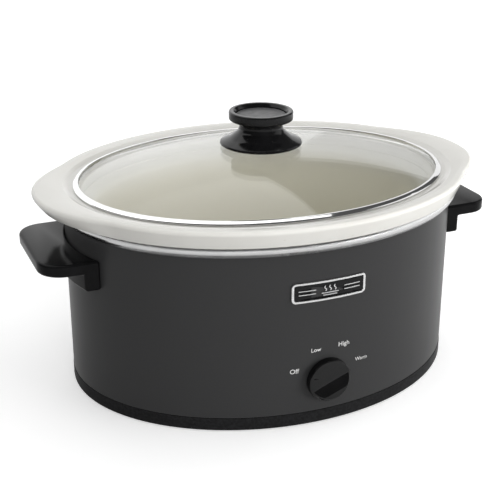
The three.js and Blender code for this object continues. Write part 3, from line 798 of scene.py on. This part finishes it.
# ---- the CAD nodes that stay get finishes by their slot -----------------------------------
SLOT_OF = {s["node"]: s["material_slot"] for s in frame["record"]["subparts"]}
for node, obj in frame["nodes"].items():
    if obj.hide_render:
        continue
    obj.data.materials.clear()
    obj.data.materials.append(LOOK[SLOT_OF[node]])

# ---- stage, light and camera --------------------------------------------------------------
floor_mesh = bpy.data.meshes.new("floor")
floor_mesh.from_pydata([(-9, -9, 0), (9, -9, 0), (9, 9, 0), (-9, 9, 0)], [], [(0, 1, 2, 3)])
floor = bpy.data.objects.new("floor", floor_mesh)
bpy.context.scene.collection.objects.link(floor)
floor_paint = Paint("floor", (0.90, 0.90, 0.90), 0.7)
# The floor is pale to the camera and greyer to the light it bounces, as a lit sweep with dark surrounds.
path = floor_paint.nodes.new("ShaderNodeLightPath")


def tone(below, ray, value):
    mix = floor_paint.nodes.new("ShaderNodeMix")
    mix.data_type = "RGBA"
    mix.inputs["B"].default_value = (value, value, value, 1)
    floor_paint.links.new(path.outputs[ray], mix.inputs["Factor"])
    if below is None:
        mix.inputs["A"].default_value = (0.20, 0.20, 0.20, 1)
    else:
        floor_paint.links.new(below, mix.inputs["A"])
    return mix.outputs["Result"]


floor_paint.links.new(tone(tone(None, "Is Glossy Ray", 0.85), "Is Camera Ray", 0.93),
                      floor_paint.shader.inputs["Base Color"])
floor_paint.shader.inputs["Specular IOR Level"].default_value = 0.0
floor_paint.shader.inputs["Emission Color"].default_value = (1, 1, 1, 1)
floor_paint.links.new(floor_paint.spread_over(path.outputs["Is Camera Ray"], 0.0, 0.35, 0.0, 1.0),
                      floor_paint.shader.inputs["Emission Strength"])
floor_mesh.materials.append(floor_paint.material)

world = bpy.data.worlds.new("world")
bpy.context.scene.world = world
world.use_nodes = True
world.node_tree.nodes["Background"].inputs["Color"].default_value = (1, 1, 1, 1)
world.node_tree.nodes["Background"].inputs["Strength"].default_value = 0.53
dim = world.node_tree.nodes.new("ShaderNodeBackground")
dim.inputs["Strength"].default_value = 0.12
choose = world.node_tree.nodes.new("ShaderNodeMixShader")
rays = world.node_tree.nodes.new("ShaderNodeLightPath")
world.node_tree.links.new(rays.outputs["Is Glossy Ray"], choose.inputs["Fac"])
world.node_tree.links.new(world.node_tree.nodes["Background"].outputs[0], choose.inputs[1])
world.node_tree.links.new(dim.outputs[0], choose.inputs[2])
world.node_tree.links.new(choose.outputs[0], world.node_tree.nodes["World Output"].inputs["Surface"])

# name, place, what it faces, size, power, what it lights
SOFTBOXES = [
    ("key", (1.7, -0.9, 1.1), (0, 0, 0.12), (1.1, 1.3), 9, "diffuse"),
    ("side", (2.0, 0.3, 0.5), (0, 0, 0.12), (1.2, 0.8), 15, "diffuse"),
    ("top", (0.0, 0.3, 1.8), (0, 0, 0.12), (1.4, 1.1), 1.5, "diffuse"),
    ("back", (0.3, 2.2, 1.0), (0, 0, 0.15), (2.0, 1.2), 11, "diffuse"),
    ("left", (-1.7, -0.4, 0.8), (0, 0, 0.12), (0.8, 1.2), 2.0, "diffuse"),
    ("front", (-0.6, -2.2, 0.6), (0, 0, 0.12), (1.2, 0.8), 15.5, "diffuse"),
    ("low", (1.4, -1.9, 0.25), (0, 0, 0.12), (1.0, 0.6), 31, "diffuse"),
    ("card_right", (2.3, -0.5, 0.9), (0, 0, 0.15), (2.0, 1.8), 11, "gloss"),
    ("wall_left", (-1.17, 3.0, 1.475), (-1.17, 0, 1.475), (5.66, 2.95), 66, "gloss"),
    ("wall_right", (3.31, 3.0, 1.04), (3.31, 0, 1.04), (3.3, 2.08), 20, "gloss"),
    ("ceiling", (-1.3, 1.3, 2.95), (-1.3, 1.3, 0), (5.4, 3.4), 95, "gloss"),
]
for name, place, target, (width, height), power, lit in SOFTBOXES:
    light = bpy.data.lights.new(name, "AREA")
    light.shape = "RECTANGLE"
    light.size, light.size_y = width, height
    light.energy = power
    obj = bpy.data.objects.new(name, light)
    obj.location = place
    obj.rotation_euler = (Vector(target) - Vector(place)).to_track_quat("-Z", "Y").to_euler()
    obj.visible_diffuse = lit != "gloss"
    obj.visible_glossy = lit != "diffuse"
    bpy.context.scene.collection.objects.link(obj)

scene = bpy.context.scene
scene.view_settings.view_transform = "Standard"
scene.view_settings.look = "None"
scene.view_settings.exposure = 0.0

# The camera was matched to the photo; CAMERA_BACK points from the part to the camera.
CAMERA_PLACE = (-0.36245, -0.83671, 0.47662)
CAMERA_LENS = 77.71
CAMERA_BACK = Vector((-0.35874, -0.85261, 0.37995)).normalized()
side = Vector((0, 0, 1)).cross(CAMERA_BACK).normalized()
up = CAMERA_BACK.cross(side)
camera_data = bpy.data.cameras.new("camera")
camera_data.sensor_width = 36.0
camera_data.lens = CAMERA_LENS
camera = bpy.data.objects.new("camera", camera_data)
rotation = Matrix((side, up, CAMERA_BACK)).transposed().to_4x4()
camera.matrix_world = Matrix.Translation(CAMERA_PLACE) @ rotation
scene.collection.objects.link(camera)
scene.camera = camera
